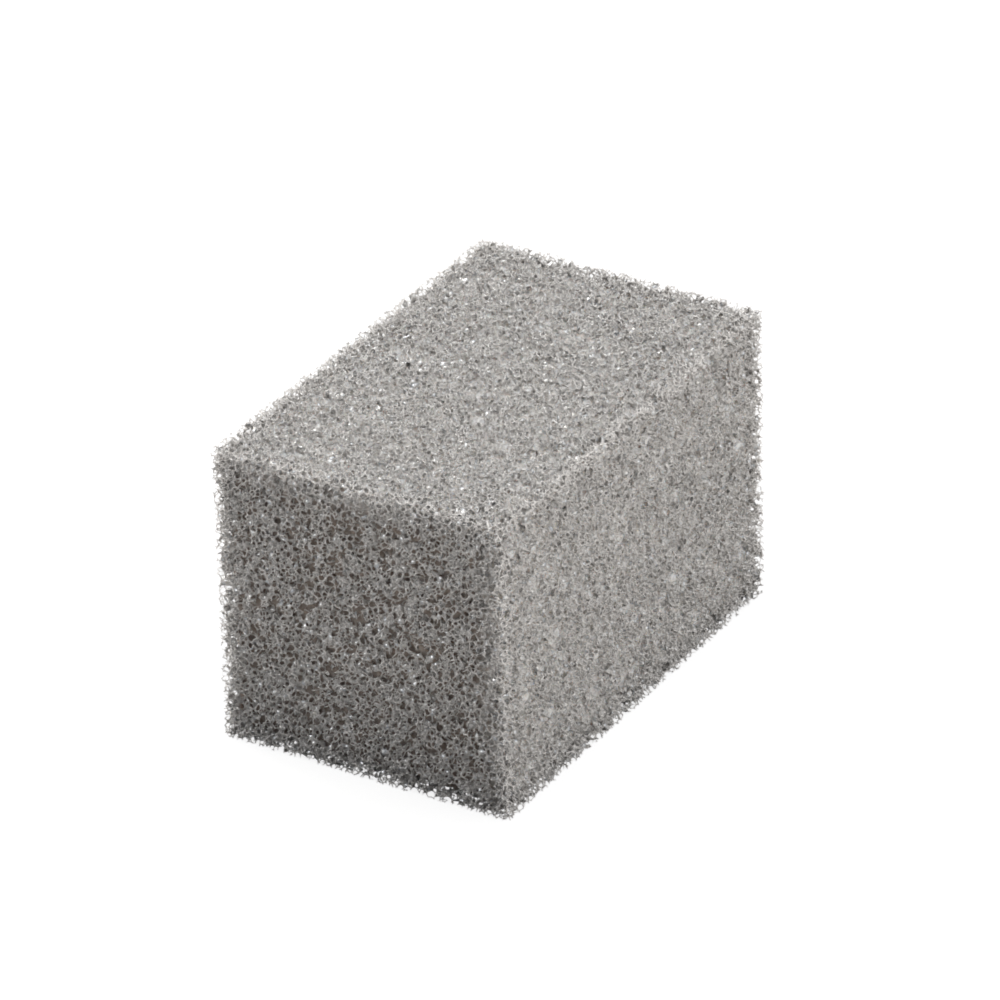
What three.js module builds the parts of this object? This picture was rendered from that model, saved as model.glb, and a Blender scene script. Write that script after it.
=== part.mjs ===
// A replacement filter sponge: one rectangular block of charcoal-grey, open-cell foam.
// Millimetres, +Z up. The origin is the middle of the bottom face. +Y runs along the block,
// the way that water is drawn through it, and the block stands on its bottom face.

import * as THREE from "three";

// Driving dimensions of the cut block
const WIDTH = 50; // X, between the two side faces
const LENGTH = 77; // Y, between the two end faces
const HEIGHT = 50; // Z, from the bottom face to the top face

// The finish of the foam, taken as one surface: its open cells are far smaller than the block
const FOAM_GREY = 0x9f9c99;
const FOAM_ROUGHNESS = 0.8;

/** Dull grey foam, with no metal in it. */
function foamMaterial() {
  return new THREE.MeshStandardMaterial({
    name: "open_cell_foam",
    color: FOAM_GREY,
    roughness: FOAM_ROUGHNESS,
    metalness: 0,
  });
}

/** The outer shape of the block as it is sliced from a bun of foam: six flat faces, square edges. */
function foamBlock() {
  const block = new THREE.Mesh(new THREE.BoxGeometry(WIDTH, LENGTH, HEIGHT), foamMaterial());
  block.name = "foam_block";
  block.position.z = HEIGHT / 2;
  return block;
}

const filterSponge = new THREE.Group();
filterSponge.add(foamBlock());

export default filterSponge;
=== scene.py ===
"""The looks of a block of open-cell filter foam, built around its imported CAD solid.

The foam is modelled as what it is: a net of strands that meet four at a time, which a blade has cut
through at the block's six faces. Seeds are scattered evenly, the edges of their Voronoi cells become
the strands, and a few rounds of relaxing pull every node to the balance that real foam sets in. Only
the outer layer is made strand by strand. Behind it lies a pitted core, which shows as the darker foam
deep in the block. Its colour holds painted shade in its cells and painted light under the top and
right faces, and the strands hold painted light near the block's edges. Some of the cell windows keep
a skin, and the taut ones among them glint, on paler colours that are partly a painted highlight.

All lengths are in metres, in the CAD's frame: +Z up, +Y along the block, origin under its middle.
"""

import itertools
import math

import bpy
import numpy as np
from mathutils import Euler, Matrix, Vector, kdtree


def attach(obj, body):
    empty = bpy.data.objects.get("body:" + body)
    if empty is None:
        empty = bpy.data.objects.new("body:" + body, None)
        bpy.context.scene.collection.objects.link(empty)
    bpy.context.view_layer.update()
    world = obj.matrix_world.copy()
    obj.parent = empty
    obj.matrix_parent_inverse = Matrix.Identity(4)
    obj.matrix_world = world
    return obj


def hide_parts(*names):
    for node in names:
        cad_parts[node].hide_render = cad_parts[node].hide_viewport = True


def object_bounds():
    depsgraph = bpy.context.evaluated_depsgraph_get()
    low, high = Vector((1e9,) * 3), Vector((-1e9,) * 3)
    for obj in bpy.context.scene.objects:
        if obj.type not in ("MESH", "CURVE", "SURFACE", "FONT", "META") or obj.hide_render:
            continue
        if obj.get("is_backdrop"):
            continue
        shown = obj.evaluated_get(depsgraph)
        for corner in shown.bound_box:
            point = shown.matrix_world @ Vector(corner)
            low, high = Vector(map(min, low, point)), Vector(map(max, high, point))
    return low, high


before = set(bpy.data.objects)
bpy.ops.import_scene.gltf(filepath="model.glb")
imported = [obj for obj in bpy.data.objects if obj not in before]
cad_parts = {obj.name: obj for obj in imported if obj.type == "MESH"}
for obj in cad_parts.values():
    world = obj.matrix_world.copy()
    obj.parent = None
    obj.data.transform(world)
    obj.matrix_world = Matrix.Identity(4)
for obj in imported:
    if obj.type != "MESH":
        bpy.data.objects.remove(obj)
cad_low, cad_high = (np.array(corner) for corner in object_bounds())

NODE = "foam_block"
BODY = "root"

# The foam, in metres
CELL = 0.00117  # diameter of one cell, as in filter foam of 45 to 50 pores an inch
JITTER = 0.38  # how far a seed strays from its lattice site, as a share of the lattice pitch
CROWDING = 0.82  # seeds nearer than this share of the pitch push each other apart
FUZZ = 0.0002  # how far the cut strands stand proud of the block's nominal faces
EDGE_RADIUS = 0.0004  # how much the block's sharp edges have crumbled
STRAND = 0.00011  # radius of the corners of a strand, at its nodes
WAIST = 0.6  # a strand's width half way between its nodes, as a share of that at the nodes
WAISTED = 0.0004  # strands this near the cut faces are modelled with a waist
FRAY = (-0.0003, 0.00004)  # how far under that proud level the blade cuts each strand
STUB = (0.08, 1.5)  # shortest and longest that a cut strand is left, as a share of its whole length
CORE_DEPTH = 0.0007  # how deep under the cut faces the core starts, before its pits
CORE_RADIUS = 0.0032  # the core's edges are rounder, so that light passes through the block's own
PIT = 0.00055  # depth of a pit in the core
GUARD = 0.0015  # seeds go this much beyond the net, so that the cells at its limits come out whole
SKINNED = 0.31  # share of the cell windows that keep a dull skin
GLINTING = 0.15  # share that keep a taut skin, which mirrors the room
SIZE_SPREAD = (0.75, 1.3)  # thinnest and thickest node, as a share of STRAND
PIT_WIDTH = 0.55  # radius of a pit in the core, as a share of a cell
SEED = 7
SKIN_BULGE = 0.00002  # the most that a skin's middle is out of its plane
SKIN_THICK = 0.00001
CORE_STEP = 0.0005  # mesh size of the core's surface

# Tones of the foam, with the painted light and shade in them
STRAND_DARK = (0.63, 0.605, 0.58)
STRAND_LIGHT = (0.735, 0.71, 0.685)
SKIN_DARK = (0.56, 0.545, 0.53)
SKIN_LIGHT = (0.68, 0.665, 0.65)
# painted highlight: the taut skins' pale base colours, warm to cool
GLINT_WARM = (0.86, 0.82, 0.74)
GLINT_COOL = (0.78, 0.83, 0.90)
# painted shade and light in the core: its cells are darkened where holes lead deeper, and its strands are
# paler than the outer ones to make up for the shade of the net above them
CORE_HOLE_SHADE = (0.66, 0.63, 0.60)
CORE_LIGHT = (0.95, 0.92, 0.89)
CORE_GLOW = 0.002  # how far light wanders through the core before it comes out again
PAINTED_LIGHT_DEPTH = 0.006  # how far the painted light under the top and the right side reaches into the core's colour
PAINTED_SHADE_TINT = (0.36, 0.315, 0.28)  # the painted shade of the core's colour beyond that, browner
PAINTED_EDGE_REACH = 0.003  # painted light: the strands' colour is lighter this near to the block's edges
PAINTED_EDGE_LIFT = 1.3  # by up to this factor

# The studio and the camera
FLOOR = 3.0  # radius of the studio's ground, and its wall's height
GLOW = 1.05  # brightness of the floor's own light
GLOW_GAP = 0.03  # how far from the block it starts
GLOW_REACH = 0.4  # and ends
BRIGHT_SIDE = Vector((0.61, 0.40, 0.70)).normalized()  # where the room is brightest
DIM = 0.0  # its brightness on the side away from there
BRIGHT = 1.57  # and on the bright side
AZIMUTH = math.radians(32.17)  # the camera looks along the block, turned this far to its left
ELEVATION = math.radians(29.82)  # and down by this much
ROLL = math.radians(-1.58)
DISTANCE = 1.070  # from the eye to the point it looks at
LENS = 252.3  # millimetres, on the default sensor
AIM_RIGHT = 0.00076  # how far that point is from the block's middle, across the view
AIM_UP = 0.00336  # and up it

middle = (cad_low + cad_high) / 2
half = (cad_high - cad_low) / 2


# ---------------------------------------------------------------- shape of the block


def under(points, reach, radius):
    """How far each point is inside a box that reaches that far from the middle, with rounded edges."""
    inset = np.abs(points - middle) - (reach - radius)
    outside = np.linalg.norm(np.maximum(inset, 0), axis=-1)
    return radius - outside - np.minimum(inset.max(-1), 0)


def under_faces(points):
    """How far each point is under the ends of the cut strands."""
    return under(points, half + FUZZ, EDGE_RADIUS)


def under_core(points):
    """How far each point is under the core's surface, as it would be without its pits."""
    return under(points, half - CORE_DEPTH, CORE_RADIUS)


# ---------------------------------------------------------------- the net of strands


def seeds_in_shell(rng):
    """Cell centres in a shell under the block's faces, with the lattice site of each."""
    pitch = (CELL**3 * math.pi / 3) ** (1 / 3)  # a body-centred lattice has two sites a cube
    turn = np.array(Euler((0.41, 0.63, 0.27)).to_matrix())  # no lattice plane lies along a face
    reach = math.ceil(2 * (np.linalg.norm(half) + GUARD) / pitch)
    steps = np.arange(-reach, reach + 1)
    sites = np.stack(np.meshgrid(steps, steps, steps, indexing="ij"), -1).reshape(-1, 3)
    sites = sites[((sites - sites[:, :1]) % 2 == 0).all(1)]
    seeds = sites * (pitch / 2) @ turn.T + middle
    near = (under_faces(seeds) > -GUARD) & (under_core(seeds) < PIT + GUARD)
    sites, seeds = sites[near], seeds[near]
    seeds += rng.uniform(-JITTER, JITTER, seeds.shape) * pitch
    around = neighbours(sites)
    for _ in range(2):
        to = spread(seeds, around)
        away = np.linalg.norm(to, axis=2, keepdims=True)
        seeds -= (to / away * np.maximum(CROWDING * pitch - away, 0)).sum(1) / 2
    return sites, seeds


OFFSETS = np.array([
    o for o in itertools.product(range(-2, 3), repeat=3)
    if 0 < np.dot(o, o) <= 8 and (o[0] - o[1]) % 2 == 0 and (o[1] - o[2]) % 2 == 0
])  # the 26 nearest sites of a body-centred lattice, in half pitches


def neighbours(sites):
    """The numbers of the 26 seeds round each seed, or -1 for one that is outside the shell."""
    base = sites - sites.min(0) + 2
    lookup = np.full(base.max(0) + 3, -1)
    lookup[tuple(base.T)] = np.arange(len(sites))
    return np.stack([lookup[tuple((base + o).T)] for o in OFFSETS], 1)


def spread(seeds, around):
    """The way from each seed to its neighbours. A missing one is a metre off, where it changes nothing."""
    return np.vstack([seeds, np.ones((1, 3))])[around] - seeds[:, None]


def cell_corners(sites, seeds):
    """The corners of the seeds' Voronoi cells, and the four seeds that each corner belongs to."""
    around = neighbours(sites)
    to = spread(seeds, around)
    square = (to**2).sum(2)
    known = {tuple(o) for o in OFFSETS}
    ahead = [k for k, o in enumerate(OFFSETS) if tuple(o) > (0, 0, 0)]
    corners, owners = [], []
    for trio in itertools.combinations(ahead, 3):
        if any(tuple(OFFSETS[a] - OFFSETS[b]) not in known for a, b in itertools.combinations(trio, 2)):
            continue
        own = np.flatnonzero((around[:, trio] >= 0).all(1))
        u, v, w = (to[own, k] for k in trio)
        across = np.cross(v, w)
        volume = (u * across).sum(1)
        flat = np.abs(volume) < 1e-9 * CELL**3
        volume[flat] = np.inf
        su, sv, sw = (square[own, k, None] for k in trio)
        x = (su * across + sv * np.cross(w, u) + sw * np.cross(u, v)) / (2 * volume[:, None])
        others = [k for k in range(len(OFFSETS)) if k not in trio]
        close = (x**2).sum(1) < (2 * CELL) ** 2
        own, x = own[close & ~flat], x[close & ~flat]
        reached = 2 * np.einsum("nkc,nc->nk", to[own][:, others], x)
        free = (reached <= square[own][:, others]).all(1)
        own, x = own[free], x[free]
        corners.append(seeds[own] + x)
        owners.append(np.column_stack([own, around[own][:, trio]]))
    return np.vstack(corners), np.sort(np.vstack(owners), 1)


def join_corners(owners, count):
    """Pairs of corners that share three seeds: the ends of every cell edge."""
    trios = np.vstack([np.delete(owners, skip, 1) for skip in range(4)])
    key = (trios[:, 0] * count + trios[:, 1]) * count + trios[:, 2]
    corner = np.tile(np.arange(len(owners)), 4)
    order = np.argsort(key, kind="stable")
    key, corner = key[order], corner[order]
    same = np.flatnonzero(key[1:] == key[:-1])
    return np.column_stack([corner[same], corner[same + 1]])


def relax(nodes, strands, rounds=4):
    """Pulls each node towards the middle of its four neighbours, as the tension in wet foam does."""
    whole = np.bincount(strands.ravel(), minlength=len(nodes)) == 4
    for _ in range(rounds):
        total = np.zeros_like(nodes)
        for here, there in (strands.T, strands.T[::-1]):
            for axis in range(3):
                total[:, axis] += np.bincount(here, nodes[there, axis], len(nodes))
        nodes[whole] += (total[whole] / 4 - nodes[whole]) / 2


class Net:
    """The strands inside the block: nodes, the up to four ways out of each, and the cut ends."""

    def __init__(self, rng):
        sites, self.seeds = seeds_in_shell(rng)
        self.nodes, self.owners = cell_corners(sites, self.seeds)
        strands = join_corners(self.owners, len(self.seeds))
        relax(self.nodes, strands)
        self.deep = under_faces(self.nodes)
        self.cut_level = rng.uniform(*FRAY, len(strands))
        self.kept = (self.deep > 0) & (under_core(self.nodes) < PIT)
        self.strands = strands
        self.number_ways()

    def number_ways(self):
        """Gives each node's strands the numbers 0 to 3, and finds each way's direction."""
        ends = self.strands.ravel()
        order = np.argsort(ends, kind="stable")
        first = np.searchsorted(ends[order], ends[order])
        number = np.empty(len(ends), int)
        number[order] = np.arange(len(ends)) - first
        number = number.reshape(-1, 2)
        good = (number < 4).all(1)
        self.strands, self.cut_level, number = self.strands[good], self.cut_level[good], number[good]
        self.number = number
        along = self.nodes[self.strands[:, 1]] - self.nodes[self.strands[:, 0]]
        self.along = along / np.linalg.norm(along, axis=1)[:, None]
        self.ways = np.zeros((len(self.nodes), 4, 3))
        self.ways[self.strands[:, 0], number[:, 0]] = self.along
        self.ways[self.strands[:, 1], number[:, 1]] = -self.along
        empty = (self.ways == 0).all(2)
        balance = -self.ways.sum(1)
        balance /= np.maximum(np.linalg.norm(balance, axis=1), 1e-9)[:, None]
        self.ways[empty] = np.repeat(balance[:, None], 4, 1)[empty]


TRIANGLES = np.array([[1, 2, 3], [0, 3, 2], [0, 1, 3], [0, 2, 1]])  # the hub corners round each way out


def hubs(net, picked, size):
    """Each node's hub: four corners, one opposite each strand, so that a strand leaves by a triangle."""
    corners = net.nodes[picked][:, None] - net.ways[picked] * size[:, None, None]
    triangles = np.broadcast_to(TRIANGLES, (len(picked), 4, 3)).copy()
    p = np.take_along_axis(corners[:, None], triangles[..., None], 2)
    facing = np.cross(p[:, :, 1] - p[:, :, 0], p[:, :, 2] - p[:, :, 0])
    inward = (facing * net.ways[picked]).sum(2) < 0
    triangles[inward] = triangles[inward][:, ::-1]
    return corners, triangles


# ---------------------------------------------------------------- meshes


def mesh_object(name, vertices, quads, triangles, material):
    """A smooth mesh object from vertex places and the vertex numbers of its faces."""
    corners = np.concatenate([quads.ravel(), triangles.ravel()]).astype(np.int32)
    starts = np.concatenate([
        np.arange(len(quads)) * 4,
        quads.size + np.arange(len(triangles)) * 3,
    ]).astype(np.int32)
    mesh = bpy.data.meshes.new(name)
    mesh.vertices.add(len(vertices))
    mesh.vertices.foreach_set("co", vertices.astype(np.float32).ravel())
    mesh.loops.add(len(corners))
    mesh.loops.foreach_set("vertex_index", corners)
    mesh.polygons.add(len(starts))
    mesh.polygons.foreach_set("loop_start", starts)
    mesh.update(calc_edges=True)
    mesh.validate()
    mesh.shade_smooth()
    piece = bpy.data.objects.new(name, mesh)
    bpy.context.scene.collection.objects.link(piece)
    mesh.materials.append(material)
    return piece


def foam_piece(piece):
    """A piece of the foam stands for the CAD block, which moves as one body."""
    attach(piece, BODY)
    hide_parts(NODE)


def best_turn(start, end):
    """Turns each end triangle so that its corners lie opposite the start triangle's."""
    from_start = start - start.mean(1, keepdims=True)
    from_end = end - end.mean(1, keepdims=True)
    costs = [((from_start - np.roll(from_end, -s, 1)) ** 2).sum((1, 2)) for s in range(3)]
    return (np.arange(3) + np.argmin(costs, 0)[:, None]) % 3


def strand_mesh(net, region, wanted, sizes):
    """Vertices, quads and triangles of one closed body: the wanted region's hubs and their strands."""
    own = np.flatnonzero(net.kept & (region == wanted))
    local = np.full(len(net.nodes), -1)
    local[own] = np.arange(len(own))
    corners, triangles = hubs(net, own, sizes[own])
    first_kept = net.kept[net.strands[:, 0]]
    a_side = np.where(first_kept, 0, 1)
    row = np.arange(len(net.strands))
    a = net.strands[row, a_side]
    mine = np.flatnonzero(net.kept[a] & (region[a] == wanted))
    a, b = a[mine], net.strands[mine, 1 - a_side[mine]]
    way_a, way_b = net.number[mine, a_side[mine]], net.number[mine, 1 - a_side[mine]]

    ids_a = 4 * local[a][:, None] + triangles[local[a], way_a]
    start = corners.reshape(-1, 3)[ids_a]
    far_corners, far_triangles = hubs(net, b, sizes[b])
    pick = far_triangles[np.arange(len(b)), way_b][:, ::-1]
    end = np.take_along_axis(far_corners, pick[..., None], 1)
    turn = best_turn(start, end)
    pick, end = np.take_along_axis(pick, turn, 1), np.take_along_axis(end, turn[..., None], 1)

    shared = net.kept[b] & (region[b] == wanted)
    cut = net.deep[b] <= 0
    share = (net.deep[a] - net.cut_level[mine]) / np.maximum(net.deep[a] - net.deep[b], 1e-9)
    share = np.clip(share, *STUB)[:, None, None]
    at_cut = start + (end.mean(1) - start.mean(1))[:, None] * share
    centre = at_cut.mean(1, keepdims=True)
    end = np.where(cut[:, None, None], centre + (at_cut - centre) * WAIST, end)

    loose = np.flatnonzero(~shared)
    ids_b = 4 * local[b][:, None] + pick
    ids_b[loose] = 4 * len(own) + np.arange(3 * len(loose)).reshape(-1, 3)
    fine = ~cut & (np.minimum(net.deep[a], net.deep[b]) < WAISTED)
    plain = ~fine
    waist = (start[fine] + end[fine]) / 2
    centre = waist.mean(1, keepdims=True)
    waist = centre + (waist - centre) * WAIST
    ids_w = 4 * len(own) + 3 * len(loose) + np.arange(3 * fine.sum()).reshape(-1, 3)

    def sides(low, high):
        nxt = [1, 2, 0]
        return np.stack([low, low[:, nxt], high[:, nxt], high], 2).reshape(-1, 4)

    quads = np.vstack([
        sides(ids_a[plain], ids_b[plain]),
        sides(ids_a[fine], ids_w),
        sides(ids_w, ids_b[fine]),
    ])
    capped = np.ones((len(own), 4), bool)
    capped[local[a], way_a] = False
    capped[local[b[shared]], way_b[shared]] = False
    node, way = np.nonzero(capped)
    caps = np.vstack([4 * node[:, None] + triangles[node, way], ids_b[loose]])
    vertices = np.vstack([corners.reshape(-1, 3), end[loose].reshape(-1, 3), waist.reshape(-1, 3)])
    return vertices, quads, caps


FACES = (
    ("left_side", 0, -1, 3),
    ("right_side", 0, 1, 3),
    ("front_end", 1, -1, 2),
    ("back_end", 1, 1, 2),
    ("bottom", 2, -1, 3),
    ("top", 2, 1, 3),
)  # name, axis and direction of each cut face, and the strips that its strands are made in


def regions(points):
    """The name of every strip of every face, and the number of the strip that each point is nearest to."""
    depth = np.stack([half[axis] - sign * (points - middle)[:, axis] for _, axis, sign, _ in FACES], 1)
    nearest = depth.argmin(1)
    names, region = [], np.zeros(len(points), int)
    for k, (name, axis, _, strips) in enumerate(FACES):
        run = 0 if axis == 1 else 1
        part = (points[:, run] - cad_low[run]) / (cad_high - cad_low)[run] * strips
        inside = nearest == k
        region[inside] = len(names) + np.clip(part[inside].astype(int), 0, strips - 1)
        names += [f"strands_{name}_{s + 1}" for s in range(strips)]
    return names, region


def windows(net, low, high):
    """The corners, in order, of the cell windows whose lot falls in a range, by number of corners."""
    pairs = np.array(list(itertools.combinations(range(4), 2)))
    owners = net.owners[:, pairs].reshape(-1, 2)
    node = np.repeat(np.arange(len(net.nodes)), len(pairs))
    key = owners[:, 0] * len(net.seeds) + owners[:, 1]
    order = np.argsort(key, kind="stable")
    _, first, count = np.unique(key[order], return_index=True, return_counts=True)
    lot = np.random.default_rng(SEED).random(len(first))
    skinned = (lot >= low) & (lot < high)
    for corners in range(4, 8):
        picked = first[skinned & (count == corners)]
        rows = order[picked[:, None] + np.arange(corners)]
        ring, pair = node[rows], owners[rows[:, 0]]
        whole = net.kept[ring].all(1) & (net.deep[ring] > FRAY[1]).all(1)
        ring, pair = ring[whole], pair[whole]
        axis = net.seeds[pair[:, 1]] - net.seeds[pair[:, 0]]
        axis /= np.linalg.norm(axis, axis=1)[:, None]
        spoke = net.nodes[ring] - net.nodes[ring].mean(1, keepdims=True)
        east = spoke[:, 0] - (spoke[:, 0] * axis).sum(1)[:, None] * axis
        north = np.cross(axis, east)
        angle = np.arctan2((spoke * north[:, None]).sum(2), (spoke * east[:, None]).sum(2))
        yield np.take_along_axis(ring, angle.argsort(1), 1), axis


def skin_mesh(net, panes, region, wanted, rng):
    """Thin closed lenses across the wanted region's skinned windows, each bulging a little to one side."""
    vertices, faces, used = [], [], 0
    for ring, axis in panes:
        mine = np.isin(region[ring[:, 0]], wanted)
        ring, axis = ring[mine], axis[mine]
        many, corners = ring.shape
        rim = net.nodes[ring]
        bulge = rng.uniform(-SKIN_BULGE, SKIN_BULGE, (many, 1))
        centre = rim.mean(1) + axis * bulge
        outer, inner = centre + axis * SKIN_THICK / 2, centre - axis * SKIN_THICK / 2
        vertices.append(np.concatenate([rim, outer[:, None], inner[:, None]], 1).reshape(-1, 3))
        base = used + np.arange(many)[:, None] * (corners + 2)
        here = base + np.arange(corners)
        there = base + (np.arange(corners) + 1) % corners
        top, bottom = (np.broadcast_to(base + corners + k, here.shape) for k in range(2))
        faces += [np.stack([here, there, top], 2), np.stack([there, here, bottom], 2)]
        used += many * (corners + 2)
    return np.vstack(vertices), np.vstack([f.reshape(-1, 3) for f in faces])


def box_grid(size, step):
    """Vertices and quads of a box's surface, each face cut into squares of about one step."""
    cells = np.round(size / step).astype(int)
    quads = []
    for axis in range(3):
        u, v = (axis + 1) % 3, (axis + 2) % 3
        grid = np.stack(np.meshgrid(np.arange(cells[u]), np.arange(cells[v]), indexing="ij"), -1)
        for side in (0, 1):
            ring = [(0, 0), (1, 0), (1, 1), (0, 1)][:: 1 if side else -1]
            quad = np.zeros((grid[..., 0].size, 4, 3), int)
            quad[:, :, axis] = side * cells[axis]
            for k, (du, dv) in enumerate(ring):
                quad[:, k, u] = grid[..., 0].ravel() + du
                quad[:, k, v] = grid[..., 1].ravel() + dv
            quads.append(quad)
    quads = np.vstack(quads)
    places, number = np.unique(quads.reshape(-1, 3), axis=0, return_inverse=True)
    return (places / cells - 0.5) * size, number.reshape(-1, 4)


def core_mesh(net):
    """The pitted block of foam behind the net: a pit where each cell opens, a ridge between cells."""
    reach = half - CORE_DEPTH
    places, quads = box_grid(2 * reach, CORE_STEP)
    inner = np.clip(places, -(reach - CORE_RADIUS), reach - CORE_RADIUS)
    outward = places - inner
    outward /= np.linalg.norm(outward, axis=1)[:, None]
    places = middle + inner + outward * CORE_RADIUS
    tree = kdtree.KDTree(len(net.seeds))
    for k, seed in enumerate(net.seeds):
        tree.insert(seed, k)
    tree.balance()
    away = np.array([tree.find(place)[2] for place in places])
    open_cell = np.clip(1 - (away / (PIT_WIDTH * CELL)) ** 2, 0, 1)
    return places - outward * (PIT * open_cell)[:, None], quads


# ---------------------------------------------------------------- materials


def node_material(name, roughness):
    """An empty procedural material, its shader, and what adds nodes and links to it."""
    material = bpy.data.materials.new(name)
    material.use_nodes = True
    nodes, links = material.node_tree.nodes, material.node_tree.links
    shader = nodes["Principled BSDF"]
    shader.inputs["Roughness"].default_value = roughness
    return material, shader, nodes, links


def mottled(nodes, links, scale, dark, light, detail=3):
    """A colour between two greys, by a noise of that many waves to the metre."""
    place = nodes.new("ShaderNodeTexCoord")
    noise = nodes.new("ShaderNodeTexNoise")
    noise.inputs["Scale"].default_value = scale
    noise.inputs["Detail"].default_value = detail
    ramp = nodes.new("ShaderNodeValToRGB")
    ramp.color_ramp.elements[0].position = 0.35
    ramp.color_ramp.elements[1].position = 0.65
    ramp.color_ramp.elements[0].color = (*dark, 1)
    ramp.color_ramp.elements[1].color = (*light, 1)
    links.new(place.outputs["Object"], noise.inputs["Vector"])
    links.new(noise.outputs["Fac"], ramp.inputs["Fac"])
    return ramp.outputs["Color"]


def painted_edge_light(nodes, links, colour):
    """The colour with painted light near all but the bottom edges, standing for the light that soaks in
    there from two sides.
    """
    place = nodes.new("ShaderNodeTexCoord")
    value = place.outputs["Object"]
    for operation, other in (
        ("SUBTRACT", (middle[0], middle[1], cad_low[2])),
        ("ABSOLUTE", None),
        ("SUBTRACT", half * (1, 1, 2) - PAINTED_EDGE_REACH),
        ("DIVIDE", (PAINTED_EDGE_REACH, PAINTED_EDGE_REACH, PAINTED_EDGE_REACH)),
        ("MAXIMUM", (0, 0, 0)),
        ("DOT_PRODUCT", (1, 1, 1)),
    ):
        step = nodes.new("ShaderNodeVectorMath")
        step.operation = operation
        links.new(value, step.inputs[0])
        if other is not None:
            step.inputs[1].default_value = other
        value = step.outputs["Value" if operation == "DOT_PRODUCT" else "Vector"]
    lift = nodes.new("ShaderNodeMapRange")
    lift.inputs["From Min"].default_value = 0.8
    lift.inputs["From Max"].default_value = 1.8
    lift.inputs["To Min"].default_value = 1
    lift.inputs["To Max"].default_value = PAINTED_EDGE_LIFT
    tone = nodes.new("ShaderNodeVectorMath")
    tone.operation = "SCALE"
    links.new(value, lift.inputs["Value"])
    links.new(colour, tone.inputs[0])
    links.new(lift.outputs["Result"], tone.inputs["Scale"])
    return tone.outputs["Vector"]


def strand_material():
    """Grey polyurethane strands: slightly glossy, a little uneven in tone from cell to cell, with painted
    light near the block's edges.
    """
    material, shader, nodes, links = node_material("foam_strands", 0.28)
    shader.inputs["IOR"].default_value = 1.65
    colour = mottled(nodes, links, 380, STRAND_DARK, STRAND_LIGHT, detail=5)
    links.new(painted_edge_light(nodes, links, colour), shader.inputs["Base Color"])
    return material


def skin_material():
    """The dull skin left across some windows, slightly glossy on both its sides."""
    material, shader, nodes, links = node_material("foam_skins", 0.2)
    shader.inputs["Specular IOR Level"].default_value = 1
    links.new(mottled(nodes, links, 1500, SKIN_DARK, SKIN_LIGHT), shader.inputs["Base Color"])
    return material


def glint_material():
    """A taut skin: a film that mirrors the room from both its sides. Its base colour, paler than the dull
    skins and mottled warm to cool, is a painted highlight and a painted thin-film tint.
    """
    material, shader, nodes, links = node_material("foam_glints", 0.28)
    shader.inputs["IOR"].default_value = 2.6
    shader.inputs["Specular IOR Level"].default_value = 1
    links.new(mottled(nodes, links, 1500, GLINT_WARM, GLINT_COOL), shader.inputs["Base Color"])
    return material


def painted_soaked_light(nodes, links, place):
    """Painted light: white under the top and right faces, falling deeper in to a dimmer, browner painted
    shade, as real foam hands its light on.
    """
    axes = nodes.new("ShaderNodeSeparateXYZ")
    links.new(place.outputs["Object"], axes.inputs["Vector"])
    brighter = nodes.new("ShaderNodeMath")
    brighter.operation = "MAXIMUM"
    for k, (axis, face) in enumerate((("X", cad_high[0]), ("Z", cad_high[2]))):
        fade = nodes.new("ShaderNodeMapRange")
        fade.interpolation_type = "SMOOTHSTEP"
        fade.inputs["From Min"].default_value = face - PAINTED_LIGHT_DEPTH
        fade.inputs["From Max"].default_value = face - CORE_DEPTH
        links.new(axes.outputs[axis], fade.inputs["Value"])
        links.new(fade.outputs["Result"], brighter.inputs[k])
    tint = nodes.new("ShaderNodeMix")
    tint.data_type = "RGBA"
    tint.inputs["A"].default_value = (*PAINTED_SHADE_TINT, 1)
    tint.inputs["B"].default_value = (1, 1, 1, 1)
    links.new(brighter.outputs["Value"], tint.inputs["Factor"])
    return tint.outputs["Result"]


def core_material():
    """Foam too deep to model strand by strand: pale strands round cells darkened by painted shade, with a
    soft glow, and painted light under the top and right faces.
    """
    material, shader, nodes, links = node_material("deep_foam", 0.75)
    shader.inputs["Subsurface Weight"].default_value = 1
    shader.inputs["Subsurface Radius"].default_value = (1, 0.88, 0.78)
    shader.inputs["Subsurface Scale"].default_value = CORE_GLOW
    place = nodes.new("ShaderNodeTexCoord")
    cells = nodes.new("ShaderNodeTexVoronoi")
    cells.feature = "DISTANCE_TO_EDGE"
    cells.inputs["Scale"].default_value = 1 / CELL
    ramp = nodes.new("ShaderNodeValToRGB")
    ramp.color_ramp.elements[0].position = 0.03
    ramp.color_ramp.elements[1].position = 0.25
    ramp.color_ramp.elements[0].color = (*CORE_LIGHT, 1)
    ramp.color_ramp.elements[1].color = (*CORE_HOLE_SHADE, 1)
    tone = nodes.new("ShaderNodeVectorMath")
    tone.operation = "MULTIPLY"
    links.new(place.outputs["Object"], cells.inputs["Vector"])
    links.new(cells.outputs["Distance"], ramp.inputs["Fac"])
    links.new(ramp.outputs["Color"], tone.inputs[0])
    links.new(painted_soaked_light(nodes, links, place), tone.inputs[1])
    links.new(tone.outputs["Vector"], shader.inputs["Base Color"])
    return material


# ---------------------------------------------------------------- camera, floor and light


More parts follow.
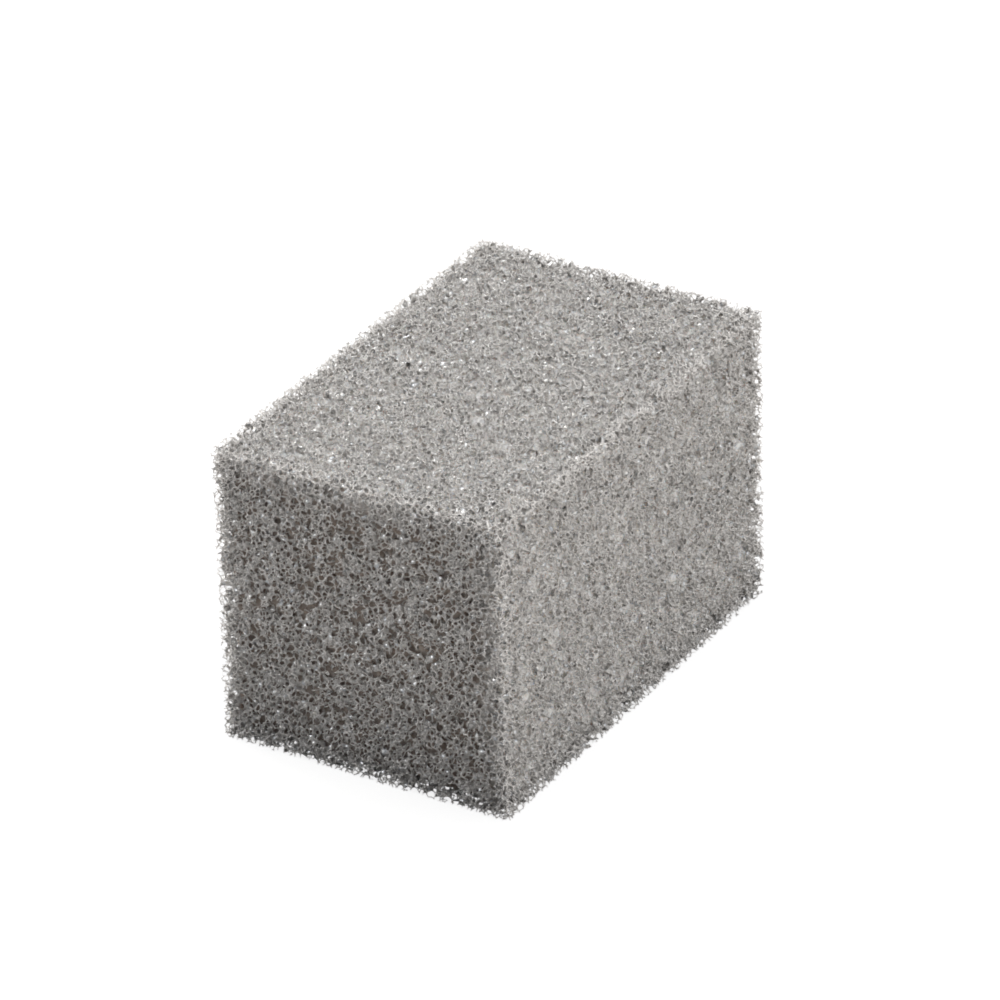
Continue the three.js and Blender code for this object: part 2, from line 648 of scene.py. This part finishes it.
def white_sweep():
    """The studio's ground: a pale floor that curves up, far from the block, into a wall all round."""
    turns = 96
    steps = np.linspace(0, math.pi / 2, 25)[1:]
    radius = np.concatenate([[FLOOR / 3, FLOOR * 2 / 3], FLOOR * (2 / 3 + np.sin(steps) / 3)])
    height = np.concatenate([[0, 0], FLOOR * (1 - np.cos(steps)) / 3])
    radius, height = np.append(radius, FLOOR), np.append(height, FLOOR)
    angle = np.arange(turns) * 2 * math.pi / turns
    places = np.stack([
        np.outer(radius, np.cos(angle)),
        np.outer(radius, np.sin(angle)),
        np.repeat(height[:, None] + cad_low[2], turns, 1),
    ], -1).reshape(-1, 3)
    ring = np.arange(turns)
    inner = ring + turns * np.arange(len(radius) - 1)[:, None]
    outer = (ring + 1) % turns + turns * np.arange(len(radius) - 1)[:, None]
    quads = np.stack([inner, inner + turns, outer + turns, outer], -1).reshape(-1, 4)
    centre = len(places)
    hub = np.stack([ring, (ring + 1) % turns, np.full(turns, centre)], 1)
    places = np.vstack([places, [(0, 0, cad_low[2])]])
    material, shader, _, _ = node_material("studio_white", 0.9)
    shader.inputs["Base Color"].default_value = (0.2, 0.2, 0.2, 1)
    shader.inputs["Emission Color"].default_value = (1, 1, 1, 1)
    shader.inputs["Emission Strength"].default_value = 0.85
    material.cycles.emission_sampling = "NONE"
    sweep = mesh_object("studio_floor", places, quads, hub, material)
    sweep.visible_diffuse = False
    sweep.visible_glossy = False
    sweep.visible_shadow = False
    sweep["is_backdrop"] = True


def floor_glow():
    """The light that the floor throws back up, from beyond the dim strip round the block's foot."""
    corners = np.array([(-1, -1), (1, -1), (1, 1), (-1, 1)])
    plan = np.vstack([corners * (half[:2] + GLOW_GAP), corners * (half[:2] + GLOW_REACH)]) + middle[:2]
    places = np.column_stack([plan, np.full(len(plan), cad_low[2])])
    here, there = np.arange(4), (np.arange(4) + 1) % 4
    quads = np.stack([here, there, there + 4, here + 4], 1)
    material, shader, _, _ = node_material("floor_glow", 0.9)
    shader.inputs["Base Color"].default_value = (0, 0, 0, 1)
    shader.inputs["Emission Color"].default_value = (1, 0.98, 0.96, 1)
    shader.inputs["Emission Strength"].default_value = GLOW
    glow = mesh_object("floor_glow", places, quads, np.empty((0, 3), int), material)
    glow.visible_camera = False
    glow.visible_glossy = False
    glow.visible_shadow = False
    glow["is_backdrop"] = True


def camera():
    """A long lens, above and to the right of the block's front end."""
    toward = Vector((
        -math.sin(AZIMUTH) * math.cos(ELEVATION),
        math.cos(AZIMUTH) * math.cos(ELEVATION),
        -math.sin(ELEVATION),
    ))
    level = toward.cross(Vector((0, 0, 1))).normalized()
    upright = level.cross(toward)
    right = level * math.cos(ROLL) + upright * math.sin(ROLL)
    up = upright * math.cos(ROLL) - level * math.sin(ROLL)
    aim = Vector(middle) + right * AIM_RIGHT + up * AIM_UP
    data = bpy.data.cameras.new("camera")
    data.lens = LENS
    data.clip_start = 0.05
    data.clip_end = 20
    eye = bpy.data.objects.new("camera", data)
    turn = Matrix((right, up, -toward)).transposed().to_4x4()
    eye.matrix_world = Matrix.Translation(aim - toward * DISTANCE) @ turn
    bpy.context.scene.collection.objects.link(eye)
    bpy.context.scene.camera = eye


def soft_box(name, place, size, power, colour=(1, 1, 1), sheen=False):
    """A square studio light at place, facing the block. One for sheen is only seen in reflections."""
    data = bpy.data.lights.new(name, "AREA")
    data.size = size
    data.energy = power
    data.color = colour
    lamp = bpy.data.objects.new(name, data)
    lamp.visible_diffuse = not sheen
    lamp.location = place
    lamp.rotation_euler = (Vector(middle) - Vector(place)).to_track_quat("-Z", "Y").to_euler()
    bpy.context.scene.collection.objects.link(lamp)


def light_dome():
    """A white room that is brightest overhead and to the right, and dim in front of the block."""
    world = bpy.data.worlds.new("white_room")
    world.use_nodes = True
    nodes, links = world.node_tree.nodes, world.node_tree.links
    place = nodes.new("ShaderNodeTexCoord")
    facing = nodes.new("ShaderNodeVectorMath")
    facing.operation = "DOT_PRODUCT"
    facing.inputs[1].default_value = BRIGHT_SIDE
    strength = nodes.new("ShaderNodeMapRange")
    strength.interpolation_type = "SMOOTHSTEP"
    strength.inputs["To Min"].default_value = DIM
    strength.inputs["To Max"].default_value = BRIGHT
    links.new(place.outputs["Generated"], facing.inputs[0])
    links.new(facing.outputs["Value"], strength.inputs["Value"])
    links.new(strength.outputs["Result"], nodes["Background"].inputs["Strength"])
    nodes["Background"].inputs["Color"].default_value = (1, 1, 1, 1)
    bpy.context.scene.world = world


def studio_light():
    """The dome's soft light, three lamps that show only as glints, and one for the left outline."""
    light_dome()
    soft_box("window_lamp", (-0.55, -0.75, 0.55), 0.7, 15, (0.93, 0.96, 1.0), sheen=True)
    soft_box("ceiling_lamp", (-0.25, 0.75, 0.80), 0.35, 9, sheen=True)
    soft_box("corner_lamp", (-0.70, 0.10, 0.75), 0.35, 7, (1.0, 0.96, 0.88), sheen=True)
    soft_box("rim_box", (-0.90, -0.05, 0.20), 0.6, 9)
    bpy.context.scene.view_settings.view_transform = "Standard"
    bpy.context.scene.cycles.filter_width = 1.95


# ---------------------------------------------------------------- build


def build():
    rng = np.random.default_rng(SEED)
    net = Net(rng)
    sizes = STRAND * rng.uniform(*SIZE_SPREAD, len(net.nodes))
    names, region = regions(net.nodes)
    strands = strand_material()
    for k, name in enumerate(names):
        foam_piece(mesh_object(name, *strand_mesh(net, region, k, sizes), strands))
    no_quads, no_triangles = np.empty((0, 4), int), np.empty((0, 3), int)
    dull, taut = list(windows(net, 0, SKINNED)), list(windows(net, SKINNED, SKINNED + GLINTING))
    for kind, panes, material in (("skins", dull, skin_material()), ("glints", taut, glint_material())):
        for face, _, _, _ in FACES:
            wanted = [k for k, name in enumerate(names) if name.startswith(f"strands_{face}_")]
            vertices, triangles = skin_mesh(net, panes, region, wanted, rng)
            foam_piece(mesh_object(f"{kind}_{face}", vertices, no_quads, triangles, material))
    vertices, quads = core_mesh(net)
    foam_piece(mesh_object("deep_foam_core", vertices, quads, no_triangles, core_material()))


camera()
studio_light()
white_sweep()
floor_glow()
build()

low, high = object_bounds()
{"cad": [list(cad_low), list(cad_high)], "visual": [list(low), list(high)]}
